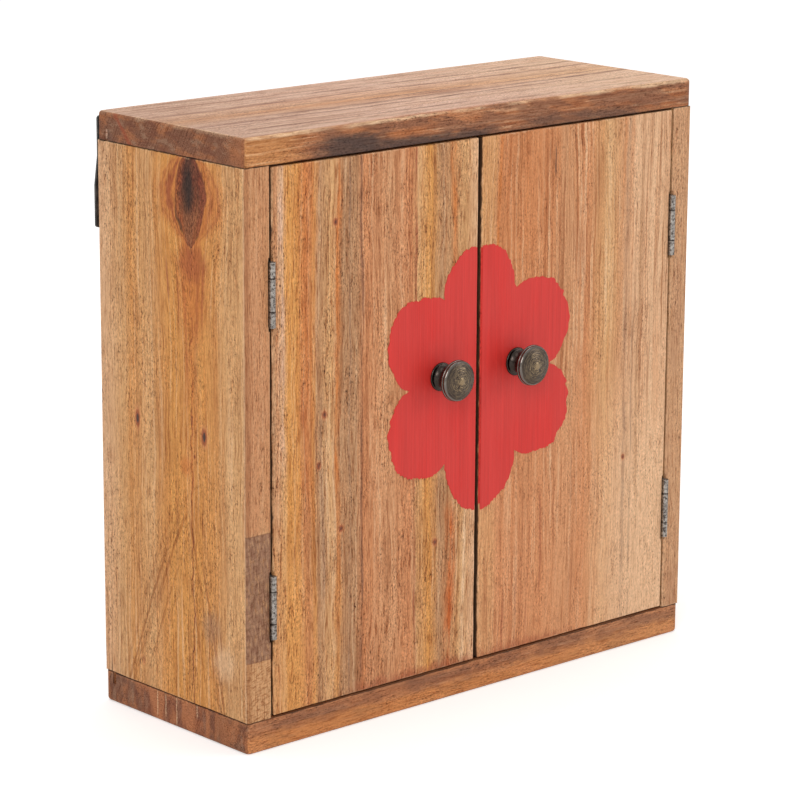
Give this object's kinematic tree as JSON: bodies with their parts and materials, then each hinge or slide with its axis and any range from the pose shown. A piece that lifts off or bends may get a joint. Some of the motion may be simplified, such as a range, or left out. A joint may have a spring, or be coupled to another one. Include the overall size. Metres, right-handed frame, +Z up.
{
  "type": "medicine cabinet",
  "caption": "Small wall-hung wooden medicine cabinet with inset doors on iron butt hinges, turned knobs, a fixed shelf and a red painted rosette.",
  "frame": {"origin": "middle of the bottom board's underside", "axes": "+Z up, -Y out of the front where the doors are, +X to the right seen from the front"},
  "size_m": [0.4, 0.1762, 0.4],
  "materials": {
    "reclaimed_wood": "waxed, knotty, worn at the edges",
    "plywood": "plain sanded",
    "dowel_wood": "fluted beech",
    "hinge_iron": "aged iron, rubbed bright on the barrels",
    "knob_bronze": "antique bronze, dark in the hollows",
    "black_steel": "matt black",
    "screw_steel": "zinc plated",
    "strike_steel": "plain steel",
    "catch_plastic": "brown moulded plastic",
    "magnet": "sintered ferrite",
    "red_paint": "satin brushed paint on the doors"
  },
  "bodies": {
    "carcass": {"top_board": "reclaimed_wood", "bottom_board": "reclaimed_wood", "left_side": "reclaimed_wood", "right_side": "reclaimed_wood", "shelf": "reclaimed_wood", "left_shelf_cleat": "reclaimed_wood", "right_shelf_cleat": "reclaimed_wood", "back_panel": "plywood", "carcass_dowels": "dowel_wood", "left_upper_frame_leaf": "hinge_iron", "left_upper_hinge_pin": "hinge_iron", "left_lower_frame_leaf": "hinge_iron", "left_lower_hinge_pin": "hinge_iron", "right_upper_frame_leaf": "hinge_iron", "right_upper_hinge_pin": "hinge_iron", "right_lower_frame_leaf": "hinge_iron", "right_lower_hinge_pin": "hinge_iron", "left_hanger": "black_steel", "right_hanger": "black_steel", "cleat_screws": "screw_steel", "shelf_nails": "screw_steel", "hanger_screws": "screw_steel", "frame_hinge_screws": "screw_steel", "catch_screws": "screw_steel", "catch_pole_plates": "strike_steel", "catch_housing": "catch_plastic", "catch_magnets": "magnet"},
    "left_door": {"left_door": "reclaimed_wood", "left_knob": "knob_bronze", "left_knob_screw": "screw_steel", "left_upper_door_leaf": "hinge_iron", "left_lower_door_leaf": "hinge_iron", "left_door_hinge_screws": "screw_steel", "left_strike_plate": "strike_steel", "left_strike_screw": "screw_steel"},
    "right_door": {"right_door": "reclaimed_wood", "right_knob": "knob_bronze", "right_knob_screw": "screw_steel", "right_upper_door_leaf": "hinge_iron", "right_lower_door_leaf": "hinge_iron", "right_door_hinge_screws": "screw_steel", "right_strike_plate": "strike_steel", "right_strike_screw": "screw_steel"}
  },
  "joints": [
    {"name": "left_door_hinge", "type": "hinge", "parent": "carcass", "child": "left_door", "pos_m": [-0.1792, -0.0762, 0.2], "axis": [0, 0, -1], "range_deg": [0, 180]},
    {"name": "right_door_hinge", "type": "hinge", "parent": "carcass", "child": "right_door", "pos_m": [0.1822, -0.0762, 0.2], "axis": [0, 0, 1], "range_deg": [0, 180]}
  ]
}
